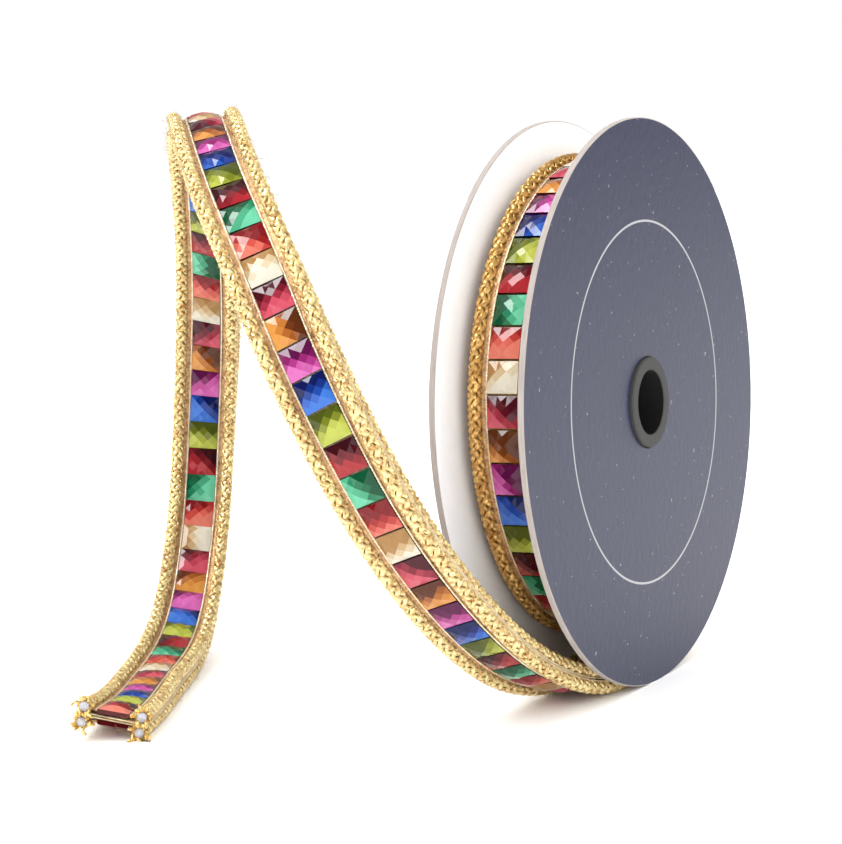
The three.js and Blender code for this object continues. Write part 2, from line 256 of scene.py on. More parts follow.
def skin(name, grids, along, closed=True, ends=True):
    """A mesh over grids of points, (grid, row, column): a face between each four neighbours, also
    from the last column round to the first where closed, and a flat face over both ends. Its UV
    map has the share of the way round as U, and along, in metres, as V."""
    count, rows, columns = grids.shape[:3]
    wide = columns if closed else columns - 1
    steps = (np.arange(count), np.arange(rows - 1), np.arange(wide))
    grid, row, column = np.meshgrid(*steps, indexing="ij")
    after = (column + 1) % columns
    low, high = (grid * rows + row) * columns, (grid * rows + row + 1) * columns
    quads = np.stack([low + column, low + after, high + after, high + column], -1).reshape(-1, 4)
    u = np.stack([column, column + 1, column + 1, column], -1).reshape(-1) / wide
    v = np.broadcast_to(along, (count, rows))
    v = np.stack([v[grid, row], v[grid, row], v[grid, row + 1], v[grid, row + 1]], -1).reshape(-1)
    loops = quads.reshape(-1)
    starts = np.arange(0, len(loops), 4)
    if ends and closed:
        first = np.arange(count)[:, None] * rows * columns + np.arange(columns)[None, ::-1]
        last = (np.arange(count)[:, None] * rows + rows - 1) * columns + np.arange(columns)[None]
        caps = np.stack([first, last], 1).reshape(-1)
        starts = np.concatenate([starts, len(loops) + np.arange(0, len(caps), columns)])
        u = np.concatenate([u, np.full(len(caps), 0.5)])
        v = np.concatenate([v, np.full(len(caps), 0.0)])
        loops = np.concatenate([loops, caps])
    mesh = bpy.data.meshes.new(name)
    mesh.vertices.add(count * rows * columns)
    mesh.vertices.foreach_set("co", np.ascontiguousarray(grids, np.float32).reshape(-1))
    mesh.loops.add(len(loops))
    mesh.loops.foreach_set("vertex_index", loops.astype(np.int32))
    mesh.polygons.add(len(starts))
    mesh.polygons.foreach_set("loop_start", starts.astype(np.int32))
    way = np.stack([u, v], -1).astype(np.float32)
    mesh.uv_layers.new(name="way").data.foreach_set("uv", way.reshape(-1))
    mesh.update(calc_edges=True)
    mesh.validate()
    mesh.shade_smooth()
    return mesh


def fit(mesh, material, slot, *nodes):
    """Puts a mesh into the scene as a piece of the trim or the spool, in place of CAD nodes."""
    mesh.materials.append(material)
    piece = bpy.data.objects.new(mesh.name, mesh)
    bpy.context.collection.objects.link(piece)
    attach(piece, "root")
    if nodes:
        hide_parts(*nodes)
    return piece


def finish(name):
    """A new material: its nodes, its links, and its surface shader."""
    material = bpy.data.materials.new(name)
    material.use_nodes = True
    tree = material.node_tree
    return material, tree.nodes, tree.links, tree.nodes["Principled BSDF"]


# Fine metallic threads, for every woven or plaited finish: ridges that run with the V of the UV
# map, slightly uneven, with a slow wave of light and dark and a scatter of single bright threads.
threads = bpy.data.node_groups.new("fine_threads", "ShaderNodeTree")
for socket in ["Across", "Along", "Glitter"]:
    threads.interface.new_socket(socket, in_out="INPUT", socket_type="NodeSocketFloat")
for socket in ["Height", "Shade", "Spark"]:
    threads.interface.new_socket(socket, in_out="OUTPUT", socket_type="NodeSocketFloat")
come = threads.nodes.new("NodeGroupInput")
go = threads.nodes.new("NodeGroupOutput")
way = threads.nodes.new("ShaderNodeUVMap")
way.uv_map = "way"
apart = threads.nodes.new("ShaderNodeSeparateXYZ")
threads.links.new(way.outputs["UV"], apart.inputs[0])
across_way = threads.nodes.new("ShaderNodeMath")
across_way.operation = "MULTIPLY"
threads.links.new(apart.outputs["X"], across_way.inputs[0])
threads.links.new(come.outputs["Across"], across_way.inputs[1])
along_way = threads.nodes.new("ShaderNodeMath")
along_way.operation = "MULTIPLY"
threads.links.new(apart.outputs["Y"], along_way.inputs[0])
threads.links.new(come.outputs["Along"], along_way.inputs[1])
laid = threads.nodes.new("ShaderNodeCombineXYZ")
threads.links.new(across_way.outputs[0], laid.inputs["X"])
threads.links.new(along_way.outputs[0], laid.inputs["Y"])
ridges = threads.nodes.new("ShaderNodeTexNoise")
ridges.inputs["Scale"].default_value = 1.0
ridges.inputs["Detail"].default_value = 2.0
threads.links.new(laid.outputs[0], ridges.inputs["Vector"])
threads.links.new(ridges.outputs["Fac"], go.inputs["Height"])
body = threads.nodes.new("ShaderNodeTexCoord")
shade = threads.nodes.new("ShaderNodeTexNoise")
shade.inputs["Scale"].default_value = 300.0
shade.inputs["Detail"].default_value = 3.0
threads.links.new(body.outputs["Object"], shade.inputs["Vector"])
threads.links.new(shade.outputs["Fac"], go.inputs["Shade"])
spark = threads.nodes.new("ShaderNodeTexVoronoi")
spark.inputs["Scale"].default_value = 1300.0
threads.links.new(body.outputs["Object"], spark.inputs["Vector"])
spark_only = threads.nodes.new("ShaderNodeSeparateColor")
threads.links.new(spark.outputs["Color"], spark_only.inputs[0])
bright = threads.nodes.new("ShaderNodeMath")
bright.operation = "MULTIPLY"
threads.links.new(spark_only.outputs[0], bright.inputs[0])
threads.links.new(come.outputs["Glitter"], bright.inputs[1])
threads.links.new(bright.outputs[0], go.inputs["Spark"])


def gold(name, deep, light, across, along, glitter, rough, metal):
    """A metallic thread finish between two colours: the shade picks the colour, and the ridges and the
    sparks tilt the surface. A piece may have a value from 0 to 1 at each point, painted shade, which
    darkens it towards a deep brown where the plait's bundles pass under one another and on the core
    inside them."""
    material, nodes, links, shader = finish(name)
    thread = nodes.new("ShaderNodeGroup")
    thread.node_tree = threads
    thread.inputs["Across"].default_value = across
    thread.inputs["Along"].default_value = along
    thread.inputs["Glitter"].default_value = glitter
    tone = nodes.new("ShaderNodeMix")
    tone.data_type = "RGBA"
    tone.inputs["A"].default_value = (*deep, 1.0)
    tone.inputs["B"].default_value = (*light, 1.0)
    both = nodes.new("ShaderNodeMath")
    both.operation = "MULTIPLY_ADD"
    both.inputs[1].default_value = 1.5
    links.new(thread.outputs["Shade"], both.inputs[0])
    links.new(thread.outputs["Spark"], both.inputs[2])
    lower = nodes.new("ShaderNodeMath")
    lower.operation = "SUBTRACT"
    lower.use_clamp = True
    lower.inputs[1].default_value = 0.50
    links.new(both.outputs[0], lower.inputs[0])
    links.new(lower.outputs[0], tone.inputs["Factor"])
    # Painted shade, read at each point: blends the colour towards a deep brown.
    painted_shade = nodes.new("ShaderNodeAttribute")
    painted_shade.attribute_name = "painted_shade"
    shaded_tone = nodes.new("ShaderNodeMix")
    shaded_tone.data_type = "RGBA"
    shaded_tone.inputs["B"].default_value = (deep[0] * 0.35, deep[1] * 0.28, deep[2] * 0.2, 1.0)
    links.new(painted_shade.outputs["Fac"], shaded_tone.inputs["Factor"])
    links.new(tone.outputs["Result"], shaded_tone.inputs["A"])
    links.new(shaded_tone.outputs["Result"], shader.inputs["Base Color"])
    sum_height = nodes.new("ShaderNodeMath")
    sum_height.operation = "ADD"
    links.new(thread.outputs["Height"], sum_height.inputs[0])
    links.new(thread.outputs["Spark"], sum_height.inputs[1])
    bump = nodes.new("ShaderNodeBump")
    bump.inputs["Strength"].default_value = 1.0
    bump.inputs["Distance"].default_value = 0.00032
    links.new(sum_height.outputs[0], bump.inputs["Height"])
    links.new(bump.outputs["Normal"], shader.inputs["Normal"])
    shader.inputs["Metallic"].default_value = metal
    shader.inputs["Roughness"].default_value = rough
    return material


tape_gold = gold("tape_gold", (0.66, 0.47, 0.24), (1.0, 0.87, 0.60), 60.0, 2400.0, 0.5, 0.45, 0.4)
tape_half_width = 0.0108
tape_apart = 0.00025
tape_thick = 0.0003
for name, side in [("outer_tape", 1), ("inner_tape", -1)]:
    distance = np.linspace(0, loose_length, 640)
    lane = np.linspace(-tape_half_width, tape_half_width, 9)
    low, high = sorted([side * tape_apart, side * (tape_apart + tape_thick)])
    across = np.concatenate([lane, lane[::-1]])[None].repeat(len(distance), 0)
    out = np.concatenate([lane * 0 + low, lane * 0 + high])[None].repeat(len(distance), 0)
    ravel = 0.0007 * np.sin(across[-1] * 900 + side) + 0.0005 * np.sin(across[-1] * 2300)
    grid = on_trim(distance, across, out)
    forward = trim_frame(distance)[2]
    grid[-1] += np.abs(ravel)[:, None] * -forward[-1]
    fit(skin(f"{name}_cloth", grid[None], distance), tape_gold, "gold_tape", name)

# The piping cords. Eight soft bundles of metallic thread are plaited round a core, four turning each way
# and passing over and under, and a cord is sewn along both edges of both tapes. Shade is painted on:
# each bundle is painted darker where it passes under the others, and the core is painted fully dark as
# the shade between the bundles. The core is bare and white at the cut end.
cord_across = 0.0091
cord_out = 0.0024
plait_pitch = 0.0165
plait_radius = 0.00150
plait_swing = 0.00042
bundle_half_width = 0.00102
bundle_half_thick = 0.00050


def plait(start, end, edge, side, stride=0.00085, corners=6):
    """Eight bundles, four each way. Bundle k at distance d stands at the angle +-2 pi d / pitch +
    k pi / 2 round the cord, at radius + swing * cos(8 pi d / pitch), with the opposite sign for
    those that turn back; its own section is a flat ellipse."""
    rows = int(abs(end - start) / stride) + 1
    distance = np.linspace(start, end, rows)
    turn = np.array([1, 1, 1, 1, -1, -1, -1, -1])[:, None, None]
    quarter = np.array([0, 1, 2, 3, 0, 1, 2, 3])[:, None, None] * math.pi / 2
    round_it = np.linspace(0, 2 * math.pi, corners, endpoint=False)[None, None]
    d = distance[None, :, None]
    swing = turn * plait_swing * np.cos(8 * math.pi * d / plait_pitch)
    radius = plait_radius + swing + bundle_half_thick * np.sin(round_it)
    angle = turn * 2 * math.pi * d / plait_pitch + quarter
    angle = angle - bundle_half_width * np.cos(round_it) / plait_radius
    across = edge * cord_across + radius * np.cos(angle)
    out = side * cord_out + radius * np.sin(angle)
    grids = np.stack([on_trim(distance, a, o) for a, o in zip(across, out)])
    # Painted shade: up to 0.85 where a bundle swings inward and passes under the others.
    shade_amount = np.clip(-swing / plait_swing * 0.9 - 0.15, 0, 0.85) + np.zeros_like(round_it)
    return grids, distance, shade_amount


def paint_shade(mesh, shade_amount):
    """Gives a mesh its painted shade, one value from 0 to 1 for each of its points."""
    painted_shade = mesh.attributes.new("painted_shade", "FLOAT", "POINT")
    painted_shade.data.foreach_set("value", shade_amount.astype(np.float32).reshape(-1))
    return mesh


cord_gold = gold("cord_gold", (0.42, 0.17, 0.025), (1.0, 0.83, 0.40), 9.0, 500.0, 0.9, 0.24, 0.42)
core_white, nodes, links, shader = finish("core_white")
shader.inputs["Base Color"].default_value = (0.50, 0.50, 0.55, 1.0)
shader.inputs["Roughness"].default_value = 0.9
grain = nodes.new("ShaderNodeTexNoise")
grain.inputs["Scale"].default_value = 2200.0
coords = nodes.new("ShaderNodeTexCoord")
links.new(coords.outputs["Object"], grain.inputs["Vector"])
bump = nodes.new("ShaderNodeBump")
bump.inputs["Distance"].default_value = 0.0004
links.new(grain.outputs["Fac"], bump.inputs["Height"])
links.new(bump.outputs["Normal"], shader.inputs["Normal"])

core_radius = 0.00150
core_bare = 0.0028
braid_short = 0.0012
cords = {1: [], -1: []}
for side, face in [(1, "outer"), (-1, "inner")]:
    for edge, hand in [(-1, "left"), (1, "right")]:
        node = f"{face}_cord_{hand}"
        grids, distance, shade_amount = plait(0.0, loose_length - braid_short, edge, side)
        braid = paint_shade(skin(f"{node}_plait", grids, distance), shade_amount)
        cords[side].append(fit(braid, cord_gold, "gold_braid", node))
        for part, distance, look in [
            ("core", np.linspace(0, loose_length - core_bare, 420), cord_gold),
            ("core_end", np.linspace(loose_length - core_bare, loose_length, 4), core_white),
        ]:
            turn = np.linspace(0, 2 * math.pi, 10, endpoint=False)[None].repeat(len(distance), 0)
            grid = on_trim(
                distance,
                edge * cord_across - core_radius * np.cos(turn),
                side * cord_out + core_radius * np.sin(turn),
            )
            # The core is painted fully dark, as painted shade inside the plait.
            inside = paint_shade(skin(f"{node}_{part}", grid[None], distance), np.ones(turn.size))
            cords[side].append(fit(inside, look, "gold_braid"))

# The cut end. The foil threads of each cord spring open round its core, and a few fine fibres
# stick out of the tapes.
tuft_gold = gold("tuft_gold", (0.62, 0.30, 0.05), (1.0, 0.78, 0.32), 3.0, 700.0, 0.9, 0.28, 0.75)
end_centre, end_width, end_forward, end_outward = (v[0] for v in trim_frame([loose_length]))


def sprung_threads(name, number, begin, reach, spread, thick, seed):
    """Threads that start round a cord and curve outwards: along the trim begin + reach * t, and
    from the cord's middle 1.6 mm + spread * t^2, turning a little as they go, with t from 0 to 1.
    Each is thick * (1 - t / 2) in radius."""
    chance = np.random.default_rng(seed)
    t = np.linspace(0, 1, 7)[None]
    grids = []
    for side in (1, -1):
        for edge in (-1, 1):
            angle = 2 * math.pi * np.arange(number)[:, None] / number
            angle = angle + chance.normal(0, 0.2, (number, 1))
            along = begin + reach * chance.uniform(0.35, 1, (number, 1)) * t
            away = 0.0016 + spread * chance.uniform(0.2, 1, (number, 1)) * t**2
            angle = angle + chance.normal(0, 0.5, (number, 1)) * t
            angle = angle + chance.normal(0, 0.25, (number, 1)) * np.sin(7 * t + angle)
            middle = (
                end_centre
                + along[..., None] * end_forward
                + (edge * cord_across + away * np.cos(angle))[..., None] * end_width
                + (side * cord_out + away * np.sin(angle))[..., None] * end_outward
            )
            way = unit(np.gradient(middle, axis=1))
            first = unit(np.cross(way, end_width + 0.3 * end_outward))
            second = np.cross(way, first)
            turn = np.linspace(0, 2 * math.pi, 5, endpoint=False)
            radius = (thick * (1 - t / 2))[..., None, None]
            ring = first[..., None, :] * np.cos(turn)[:, None]
            ring = ring + second[..., None, :] * np.sin(turn)[:, None]
            grids.append(middle[:, :, None] + radius * ring)
    grids = np.concatenate(grids)
    grids[..., 2] = np.maximum(grids[..., 2], 0.0001)
    return skin(name, grids, np.linspace(0, reach, 7))


tufts = sprung_threads("tufts", 14, -0.0024, 0.0044, 0.0030, 0.00082, 21)
cords[1].append(fit(tufts, tuft_gold, "gold_braid"))
fibres = sprung_threads("fibres", 7, -0.004, 0.0085, 0.006, 0.00006, 22)
cords[1].append(fit(fibres, tuft_gold, "gold_braid"))


def stray_hairs(name, number, seed):
    """Short loose hairs on the cords: at 2.1 mm + length * t from the cord's middle, leaning along
    the trim by t^2, with t from 0 to 1."""
    chance = np.random.default_rng(seed)
    start = chance.uniform(0.002, loose_length - 0.004, number)
    edge = chance.choice([-1, 1], number)[:, None]
    side = chance.choice([-1, 1], number)[:, None]
    angle = chance.uniform(0, 2 * math.pi, (number, 1))
    t = np.linspace(0, 1, 4)[None]
    away = 0.0021 + chance.uniform(0.0006, 0.0019, (number, 1)) * t
    angle = angle + chance.normal(0, 0.25, (number, 1)) * t
    along = chance.normal(0, 0.0011, (number, 1)) * t**2
    centre, width, forward, outward = trim_frame(start)
    middle = (
        centre[:, None]
        + along[..., None] * forward[:, None]
        + (edge * cord_across + away * np.cos(angle))[..., None] * width[:, None]
        + (side * cord_out + away * np.sin(angle))[..., None] * outward[:, None]
    )
    turn = 2 * math.pi * np.arange(3) / 3
    ring = 0.000045 * np.stack([np.cos(turn), np.sin(turn), np.sin(turn + 1)], -1)
    grids = middle[:, :, None] + ring[None, None]
    grids[..., 2] = np.maximum(grids[..., 2], 0.0001)
    return skin(name, grids, np.linspace(0, 0.002, 4))


cords[1].append(fit(stray_hairs("stray_hairs", 1400, 31), tuft_gold, "gold_braid"))

# The stones. Square acrylic stones, foil-backed, with a domed crown of diamond facets turned
# through 45 degrees. They are set edge to edge, and nine colours repeat along the trim.
stone_pitch = 0.00992
# Each colour as its shaded, middle and lit tone: the painted light and shade of the foil seen through
# the facets.
stone_colours = np.array([
    ((0.060, 0.004, 0.012), (0.420, 0.008, 0.035), (0.850, 0.130, 0.190)),
    ((0.090, 0.022, 0.006), (0.560, 0.120, 0.010), (0.950, 0.420, 0.090)),
    ((0.090, 0.006, 0.055), (0.550, 0.010, 0.260), (0.900, 0.200, 0.620)),
    ((0.004, 0.006, 0.075), (0.006, 0.055, 0.500), (0.070, 0.250, 0.850)),
    ((0.070, 0.090, 0.008), (0.300, 0.340, 0.016), (0.680, 0.740, 0.120)),
    ((0.035, 0.004, 0.008), (0.200, 0.010, 0.018), (0.550, 0.035, 0.045)),
    ((0.003, 0.080, 0.030), (0.008, 0.360, 0.150), (0.220, 0.800, 0.500)),
    ((0.220, 0.006, 0.010), (0.760, 0.025, 0.026), (0.980, 0.280, 0.200)),
    ((0.480, 0.240, 0.070), (0.900, 0.660, 0.320), (1.000, 0.950, 0.800)),
])

half_long, half_wide = 0.00482, 0.0050
seat, girdle, crown = 0.00115, 0.0024, 0.0040
base_share = 0.97
# The walls and base of each stone are painted dark, as painted shade under the crown.
wall_shade_tone, wall_shade = 0.15, 0.3
foil_shade = 0.55
facet_reach = 1 / 3
lattice = np.linspace(-1, 1, 7)
mid_x, mid_y = (m.reshape(-1) for m in np.meshgrid(lattice, lattice))
odd = np.round((mid_x + mid_y) / facet_reach).astype(int) % 2 == 1
middles = np.stack([mid_x[odd], mid_y[odd]], -1)


def crown_height(x, y):
    """A pillow over the square from -1 to 1: girdle + (crown - girdle) (0.1 + 0.9 (1 - x^2)^0.75
    (1 - y^2)^0.75)."""
    dome = (np.clip(1 - x**2, 0, 1) * np.clip(1 - y**2, 0, 1)) ** 0.75
    return girdle + (crown - girdle) * (0.1 + 0.9 * dome)


def facet_template():
    """A stone's faces as (four-sided, 4, xyz) and (three-sided, 3, xyz): each whole diamond of the
    crown, each half diamond along its rim, its walls and its base."""
    step = np.array([(1, 0), (0, 1), (-1, 0), (0, -1)]) * facet_reach
    tips = middles[:, None] + step[None]
    outside = np.abs(tips).max(-1) > 1.01
    raised = np.concatenate([tips, crown_height(tips[..., 0], tips[..., 1])[..., None]], -1)
    whole = raised[~outside.any(1)]
    halves = raised[outside.any(1)]
    inside = ~outside[outside.any(1)]
    first = (np.argmin(inside, 1)[:, None] + np.array([1, 2, 3])) % 4
    halves = np.take_along_axis(halves, first[..., None], 1)
    corner = np.array([(-1, -1), (1, -1), (1, 1), (-1, 1), (-1, -1)], float)
    top = np.concatenate([corner, crown_height(corner[:, 0], corner[:, 1])[:, None]], 1)
    foot = np.concatenate([corner * base_share, np.full((5, 1), seat)], 1)
    walls = np.stack([foot[:4], foot[1:], top[1:], top[:4]], 1)
    base = foot[[0, 3, 2, 1]][None]
    return np.concatenate([whole, walls, base]), halves


four_sided, three_sided = facet_template()
corners = np.concatenate([four_sided.reshape(-1, 3), three_sided.reshape(-1, 3)])
sides = np.array([4] * len(four_sided) + [3] * len(three_sided))
centres = np.concatenate([four_sided.mean(1), three_sided.mean(1)])
hidden = (np.arange(len(sides)) >= len(four_sided) - 5) & (np.arange(len(sides)) < len(four_sided))


def stone_row(name, start, pitch, colours, side, painted_light_way, seed, lift=0.0, share=1.0):
    """A row of flat-sided stones: each template corner (x, y, z) goes to centre + x * half length *
    forward + y * half width * width way + z * outward way, at the stone's own middle. A facet's tone t
    is painted light and shade: it rises towards the side of the stone painted as lit by the foil's
    reflection, with a chance part and the lift, a painted brightening or shading along the trim, and
    blends the stone's shaded, middle and lit colours by (1-t)^2, 2t(1-t) and t^2. The walls and base are
    painted dark as shade. share shortens a cut stone."""
    number = len(colours)
    centre, width, forward, outward = trim_frame(start + pitch * (np.arange(number) + 0.5))
    points = (
        centre[:, None]
        + corners[None, :, 0:1] * half_long * share * forward[:, None]
        - corners[None, :, 1:2] * half_wide * side * width[:, None]
        + corners[None, :, 2:3] * side * outward[:, None]
    )
    points[..., 2] = np.maximum(points[..., 2], 0.0001)
    chance = np.random.default_rng(seed)
    swing = chance.normal(0, 0.7, (number, 1))
    # Painted light: facets leaning towards the stone's painted lit side are lighter.
    toward_light = painted_light_way * np.cos(swing) * centres[None, :, 0] + np.sin(swing) * centres[None, :, 1]
    tone = 0.42 + np.reshape(lift, (-1, 1)) + 0.95 * toward_light + chance.normal(0, 0.16, (number, 1))
    tone = np.clip(tone + chance.normal(0, 0.09, (number, len(sides))), 0.04, 0.96)
    # Painted shade: the walls and base take a low tone and a darkened tint.
    tone[:, hidden] = wall_shade_tone
    tone = tone[..., None]
    deep, middle, bright = (stone_colours[colours][:, None, k] for k in range(3))
    tint = deep * (1 - tone) ** 2 + 2 * middle * tone * (1 - tone) + bright * tone**2
    tint[:, hidden] *= wall_shade
    tint = np.concatenate([foil_shade * tint, np.ones_like(tone)], -1)
    total = number * len(corners)
    starts = np.concatenate([[0], np.cumsum(np.tile(sides, number))])[:-1]
    mesh = bpy.data.meshes.new(name)
    mesh.vertices.add(total)
    mesh.vertices.foreach_set("co", points.astype(np.float32).reshape(-1))
    mesh.loops.add(total)
    mesh.loops.foreach_set("vertex_index", np.arange(total, dtype=np.int32))
    mesh.polygons.add(number * len(sides))
    mesh.polygons.foreach_set("loop_start", starts.astype(np.int32))
    paint = mesh.color_attributes.new("tint", "FLOAT_COLOR", "CORNER")
    tint = tint[:, np.repeat(np.arange(len(sides)), sides)]
    paint.data.foreach_set("color", tint.astype(np.float32).reshape(-1))
    mesh.update(calc_edges=True)
    mesh.validate()
    mesh.shade_flat()
    return mesh


stone_gloss, nodes, links, shader = finish("stone_gloss")
paint = nodes.new("ShaderNodeAttribute")
paint.attribute_name = "tint"
links.new(paint.outputs["Color"], shader.inputs["Base Color"])
shader.inputs["Metallic"].default_value = 0.0
shader.inputs["Specular IOR Level"].default_value = 0.1
shader.inputs["Roughness"].default_value = 0.10
shader.inputs["Coat Weight"].default_value = 0.4
shader.inputs["Coat Roughness"].default_value = 0.02
shader.inputs["Coat IOR"].default_value = 1.5
shader.inputs["IOR"].default_value = 1.55

outer_start = -0.0005
outer_row = np.arange(75)
# Painted light and shade along the outer row: stones low on the loose end are painted brighter, and
# those at the crest are painted darker, as seen at a slant.
low_painted_light = 0.22 * np.clip((14 - outer_row) / 6, 0, 1)
crest_shade = 0.7 * np.exp(-(((outer_row - 34) / 3) ** 2))
outer_stones = stone_row(
    "outer_row",
    outer_start,
    stone_pitch,
    (36 - outer_row) % 9,
    side=1,
    painted_light_way=-1,
    seed=3,
    lift=low_painted_light - crest_shade,
)
outer_stones = fit(outer_stones, stone_gloss, "stones", "outer_stones")

inner_start = 0.0064
inner_row = np.arange(74)
# Painted shade: the inner row darkens towards the cut end, and the whole row is painted 0.12 brighter.
end_shade = 0.48 * np.clip((inner_row - 62) / 4, 0, 1)
inner_stones = stone_row(
    "inner_row",
    inner_start,
    stone_pitch,
    (inner_row + 4) % 9,
    side=-1,
    painted_light_way=1,
    seed=5,
    lift=0.12 - end_shade,
)
inner_stones = fit(inner_stones, stone_gloss, "stones", "inner_stones")

# The cut stone is painted 0.3 brighter, as a painted highlight.
cut_start, cut_length, cut_share = 0.7405, 0.0054, 0.54
cut_stone = stone_row(
    "cut_stone",
    cut_start,
    cut_length,
    np.array([7]),
    side=-1,
    painted_light_way=1,
    seed=6,
    lift=0.3,
    share=cut_share,
)
cut_stone = fit(cut_stone, stone_gloss, "stones")

# The margins. A narrow net of fine metal threads fills each side between the stones and the cord,
# and a thin twisted thread along the stones shows as a line of tiny bright beads.
net_gold = gold("net_gold", (0.26, 0.12, 0.045), (0.64, 0.40, 0.20), 16.0, 1500.0, 0.9, 0.4, 0.5)
bead_gold = gold("bead_gold", (0.70, 0.52, 0.28), (1.0, 0.93, 0.74), 4.0, 900.0, 0.6, 0.3, 0.5)
bead_across = 0.0054
bead_out = 0.0021
bead_radius = 0.00036
bead_length = 0.0009
margin_start, margin_end = 0.001, loose_length - 0.001


def margin_net(name, start, end, side):
    """Two narrow strips from the foot of the stones out to the cords, each a little hollow across
    and unevenly high along."""
    distance = np.arange(start, end, 0.0011)
    lane = np.linspace(0, 1, 4)
    wave = 0.00010 * np.sin(distance * 2900) + 0.00008 * np.sin(distance * 1270)
    grids = []
    for edge in (-1, 1):
        run = np.concatenate([lane, lane[::-1]])[None].repeat(len(distance), 0)
        lift = np.concatenate([0 * lane, 0 * lane + 0.00035])[None] + wave[:, None]
        across = edge * (0.0051 + 0.0023 * run)
        out = side * (0.00135 + 0.0006 * run**2 + lift)
        if edge * side < 0:
            across, out = across[:, ::-1], out[:, ::-1]
        grids.append(on_trim(distance, across, out))
    return skin(name, np.stack(grids), distance)


def bead_thread(name, start, end, side):
    """Two round threads whose radius swells and shrinks: radius * (0.6 + 0.6 |sin(pi d / bead
    length)|), along both edges of a row of stones."""
    distance = np.arange(start, end, bead_length / 4)
    turn = np.linspace(0, 2 * math.pi, 5, endpoint=False)[None]
    swell = bead_radius * (0.6 + 0.6 * np.abs(np.sin(math.pi * distance / bead_length)))[:, None]
    grids = []
    for edge in (-1, 1):
        across = edge * bead_across - swell * np.cos(turn)
        grids.append(on_trim(distance, across, side * bead_out + swell * np.sin(turn)))
    return skin(name, np.stack(grids), distance)


outer_net = margin_net("outer_net", margin_start, margin_end, 1)
outer_net = fit(outer_net, net_gold, "gold_tape")
inner_net = margin_net("inner_net", margin_start, margin_end, -1)
inner_net = fit(inner_net, net_gold, "gold_tape")
outer_beads = bead_thread("outer_beads", margin_start, margin_end, 1)
outer_beads = fit(outer_beads, bead_gold, "gold_braid")
inner_beads = bead_thread("inner_beads", margin_start, margin_end, -1)
inner_beads = fit(inner_beads, bead_gold, "gold_braid")

# The wound turns. The doubled trim goes round the tube a little over six times. Its cords stand as
# ridges on both sides, lower and under a plait of their own on the outermost turn, which also
# carries stones.
# The wound turns take a darker, more orange gold than the loose cords: painted shade, as they lie deep
# between the flanges.
shaded_roll_gold = gold("shaded_roll_gold", (0.30, 0.14, 0.030), (0.80, 0.50, 0.18), 14.0, 900.0, 0.5, 0.4, 0.6)
distance = -np.arange(0, unrolled[-1], 0.0045)
ridge_radius = 0.0021
floor_out = 0.0022
floor_half_width = 0.0055
ridge_foot = cord_across - 0.0012
bulge = np.linspace(math.pi / 2, -math.pi / 2, 7)
left_across = -cord_across - ridge_radius * np.cos(bulge)
outline_across = np.concatenate([
    [floor_half_width, -floor_half_width, -ridge_foot],
    left_across,
    left_across,
    [-ridge_foot, -floor_half_width, floor_half_width, ridge_foot],
    -left_across,
    -left_across,
    [ridge_foot],
])
upper = cord_out + ridge_radius * np.sin(bulge)
outline_out = np.concatenate([
    [floor_out] * 3,
    upper,
    -upper[::-1],
    [-floor_out] * 4,
    -upper,
    upper[::-1],
    [floor_out],
])
across = outline_across[None].repeat(len(distance), 0)
out = outline_out[None].repeat(len(distance), 0)
turned = np.interp(-distance, unrolled, turns)
shown = np.clip((2 * math.pi + 1.0 - turned) / 0.1, 0, 1)[:, None]
out = np.where(out > floor_out, floor_out + (out - floor_out) * (1 - 0.55 * shown), out)
on_floor = (out > 0) & (np.abs(across) < floor_half_width + 0.0001)
out = np.where(on_floor, out - 0.0012 * shown, out)
roll_body = skin("wound_turns", on_trim(distance, across, out)[None, :, ::-1], distance)
roll_body = fit(roll_body, shaded_roll_gold, "gold_braid", "wound_roll")

hidden_turn = float(np.interp(2 * math.pi + 0.95, turns, unrolled))
grids, shade_amounts = [], []
for edge in (-1, 1):
    plaited, distance, shade_amount = plait(-hidden_turn, -0.0004, edge, 1)
    grids.append(plaited)
    shade_amounts.append(shade_amount)
# The plaits on the roll take their own darker copy of the cord gold as painted shade between the
# flanges, and are painted darker where their bundles pass under.
shaded_gold = gold("shaded_gold", (0.42, 0.19, 0.035), (0.95, 0.62, 0.22), 9.0, 500.0, 0.6, 0.30, 0.7)
roll_plaits = paint_shade(skin("roll_plaits", np.concatenate(grids), distance), np.concatenate(shade_amounts))
fit(roll_plaits, shaded_gold, "gold_braid")

back_count = 22
back_row = np.arange(back_count)
front_row = np.arange(back_count, 52)
front_start = 0.00516 + back_count * stone_pitch
back_start = 0.0005
back_pitch = (front_start - back_start) / back_count
front_stones = stone_row("roll_row_front", -front_start, -stone_pitch, (front_row + 7) % 9, 1, -1, 8)
fit(front_stones, stone_gloss, "stones", "roll_stones")
back_stones = stone_row("roll_row_back", -back_start, -back_pitch, (back_row + 7) % 9, 1, -1, 9)
fit(back_stones, stone_gloss, "stones")
fit(margin_net("roll_net", -hidden_turn, -0.001, 1), net_gold, "gold_tape")
fit(bead_thread("roll_beads", -hidden_turn, -0.001, 1), bead_gold, "gold_braid")

